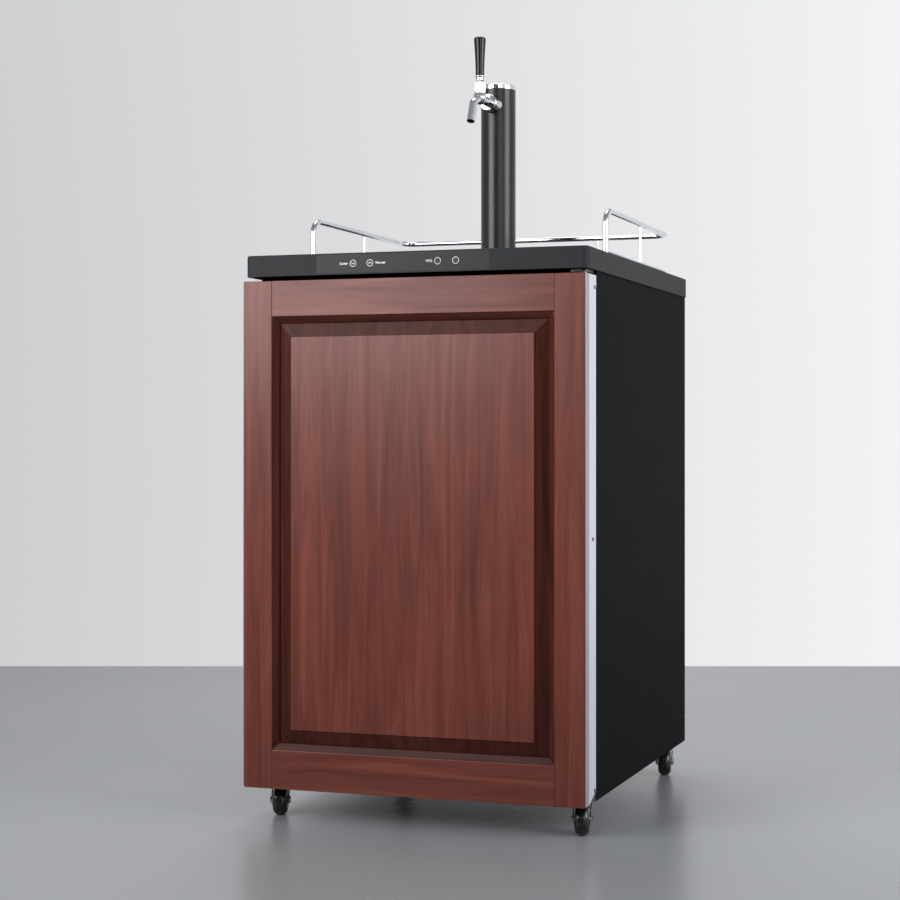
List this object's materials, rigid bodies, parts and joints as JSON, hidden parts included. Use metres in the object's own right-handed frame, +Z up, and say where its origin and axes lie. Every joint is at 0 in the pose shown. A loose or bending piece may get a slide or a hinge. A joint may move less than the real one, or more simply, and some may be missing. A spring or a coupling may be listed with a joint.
{
  "type": "kegerator",
  "caption": "Free-standing beer cooler on casters with a raised-panel wooden door, a push-key control strip, a guard rail and a draught tower with a lever tap.",
  "frame": {"origin": "on the floor under the middle of the overall box", "axes": "+Z up, -Y to the front (the door), +X to the hinge side"},
  "size_m": [0.5984, 0.65, 1.351],
  "materials": {
    "wood": "satin red-brown varnish",
    "body_trim": "pale satin",
    "black_steel": "fine textured black paint",
    "zinc_steel": "galvanised",
    "worktop_plastic": "fine textured dark grey",
    "panel_plastic": "satin dark grey",
    "white_liner": "smooth white",
    "foam": "poured foam",
    "seal": "soft black",
    "chrome": "polished",
    "gloss_black": "gloss black",
    "tower_black": "gloss black paint",
    "key_plastic": "satin dark grey",
    "board": "green",
    "tray_steel": "brushed",
    "brass": "turned",
    "bush": "natural",
    "wheel": "gloss black tread",
    "alu": "mill finish",
    "compressor_black": "gloss black",
    "fan_black": "matt black"
  },
  "bodies": {
    "cabinet": {"cabinet_wrap": "black_steel", "foam_body": "foam", "inner_liner": "white_liner", "base_sheet": "zinc_steel", "compressor_tray": "zinc_steel", "back_panel": "black_steel", "rear_grille": "black_steel", "power_gland": "seal", "compressor": "compressor_black", "condenser": "alu", "condenser_fan_frame": "fan_black", "evaporator_plate": "alu", "hinge_plates": "black_steel", "hinge_pins": "zinc_steel", "worktop": "worktop_plastic", "control_panel": "panel_plastic", "control_board": "board", "guard_rail": "chrome", "lower_rail": "chrome", "rail_posts": "chrome", "tower_flange": "chrome", "flange_screws": "chrome", "tower_tube": "tower_black", "tower_cap": "chrome", "faucet_shank": "brass", "shank_collar": "chrome", "faucet_nut": "chrome", "faucet_body": "chrome", "faucet_bonnet": "chrome", "caster_mounts": "zinc_steel"},
    "door": {"door_stiles": "wood", "door_rails": "wood", "door_panel": "wood", "door_skin": "zinc_steel", "door_foam": "foam", "door_liner": "white_liner", "door_gasket": "seal", "trim_sides": "body_trim", "trim_ends": "body_trim", "trim_screws": "black_steel", "hinge_bushes": "bush"},
    "tap": {"tap_lever": "chrome", "handle_ferrule": "chrome", "tap_handle": "gloss_black"},
    "valve": {"valve_stem": "brass"},
    "key_down": {"key_down": "key_plastic"},
    "key_up": {"key_up": "key_plastic"},
    "key_unit": {"key_unit": "key_plastic"},
    "key_mode": {"key_mode": "key_plastic"},
    "condenser_fan": {"condenser_fan_rotor": "fan_black"},
    "drip_tray": {"drip_tray": "gloss_black"},
    "drip_grille": {"drip_grille": "tray_steel"},
    "caster_front_left": {"fork_front_left": "chrome"},
    "wheel_front_left": {"wheel_front_left": "wheel"},
    "caster_front_right": {"fork_front_right": "chrome"},
    "wheel_front_right": {"wheel_front_right": "wheel"},
    "caster_rear_left": {"fork_rear_left": "chrome"},
    "wheel_rear_left": {"wheel_rear_left": "wheel"},
    "caster_rear_right": {"fork_rear_right": "chrome"},
    "wheel_rear_right": {"wheel_rear_right": "wheel"}
  },
  "joints": [
    {"name": "door_hinge", "type": "hinge", "parent": "cabinet", "child": "door", "pos_m": [0.285, -0.29, 0.475], "axis": [0, 0, 1], "range_deg": [0, 115]},
    {"name": "tap_handle", "type": "hinge", "parent": "cabinet", "child": "tap", "pos_m": [0, -0.004, 1.2586], "axis": [1, 0, 0], "range_deg": [0, 28]},
    {"name": "valve_slide", "type": "slide", "parent": "cabinet", "child": "valve", "axis": [0, 1, 0], "range_m": [0, 0.0079]},
    {"name": "key_down_press", "type": "slide", "parent": "cabinet", "child": "key_down", "axis": [0, 1, 0], "range_m": [0, 0.0008], "stiffness_N_per_m": 600},
    {"name": "key_up_press", "type": "slide", "parent": "cabinet", "child": "key_up", "axis": [0, 1, 0], "range_m": [0, 0.0008], "stiffness_N_per_m": 600},
    {"name": "key_unit_press", "type": "slide", "parent": "cabinet", "child": "key_unit", "axis": [0, 1, 0], "range_m": [0, 0.0008], "stiffness_N_per_m": 600},
    {"name": "key_mode_press", "type": "slide", "parent": "cabinet", "child": "key_mode", "axis": [0, 1, 0], "range_m": [0, 0.0008], "stiffness_N_per_m": 600},
    {"name": "condenser_fan_spin", "type": "hinge", "parent": "cabinet", "child": "condenser_fan", "pos_m": [-0.1655, 0.252, 0.1135], "axis": [1, 0, 0], "continuous": true},
    {"name": "drip_tray_lift", "type": "slide", "parent": "cabinet", "child": "drip_tray", "axis": [0, 0, 1], "range_m": [0, 0.1]},
    {"name": "drip_grille_lift", "type": "slide", "parent": "drip_tray", "child": "drip_grille", "axis": [0, 0, 1], "range_m": [0, 0.06]},
    {"name": "swivel_front_left", "type": "hinge", "parent": "cabinet", "child": "caster_front_left", "pos_m": [-0.268, -0.243, 0.05], "axis": [0, 0, 1], "continuous": true},
    {"name": "roll_front_left", "type": "hinge", "parent": "caster_front_left", "child": "wheel_front_left", "pos_m": [-0.25979, -0.26555, 0.025], "axis": [0.9397, 0.342, 0], "continuous": true},
    {"name": "swivel_front_right", "type": "hinge", "parent": "cabinet", "child": "caster_front_right", "pos_m": [0.268, -0.243, 0.05], "axis": [0, 0, 1], "continuous": true},
    {"name": "roll_front_right", "type": "hinge", "parent": "caster_front_right", "child": "wheel_front_right", "pos_m": [0.27381, -0.26629, 0.025], "axis": [0.9703, 0.2419, 0], "continuous": true},
    {"name": "swivel_rear_left", "type": "hinge", "parent": "cabinet", "child": "caster_rear_left", "pos_m": [-0.268, 0.28, 0.05], "axis": [0, 0, 1], "continuous": true},
    {"name": "roll_rear_left", "type": "hinge", "parent": "caster_rear_left", "child": "wheel_rear_left", "pos_m": [-0.25748, 0.25843, 0.025], "axis": [0.8988, 0.4384, 0], "continuous": true},
    {"name": "swivel_rear_right", "type": "hinge", "parent": "cabinet", "child": "caster_rear_right", "pos_m": [0.268, 0.28, 0.05], "axis": [0, 0, 1], "continuous": true},
    {"name": "roll_rear_right", "type": "hinge", "parent": "caster_rear_right", "child": "wheel_rear_right", "pos_m": [0.27299, 0.25652, 0.025], "axis": [0.9781, 0.2079, 0], "continuous": true}
  ],
  "couplings": [
    {"joint": "valve_slide", "follows": "tap_handle", "m_per_rad": 0.016}
  ]
}
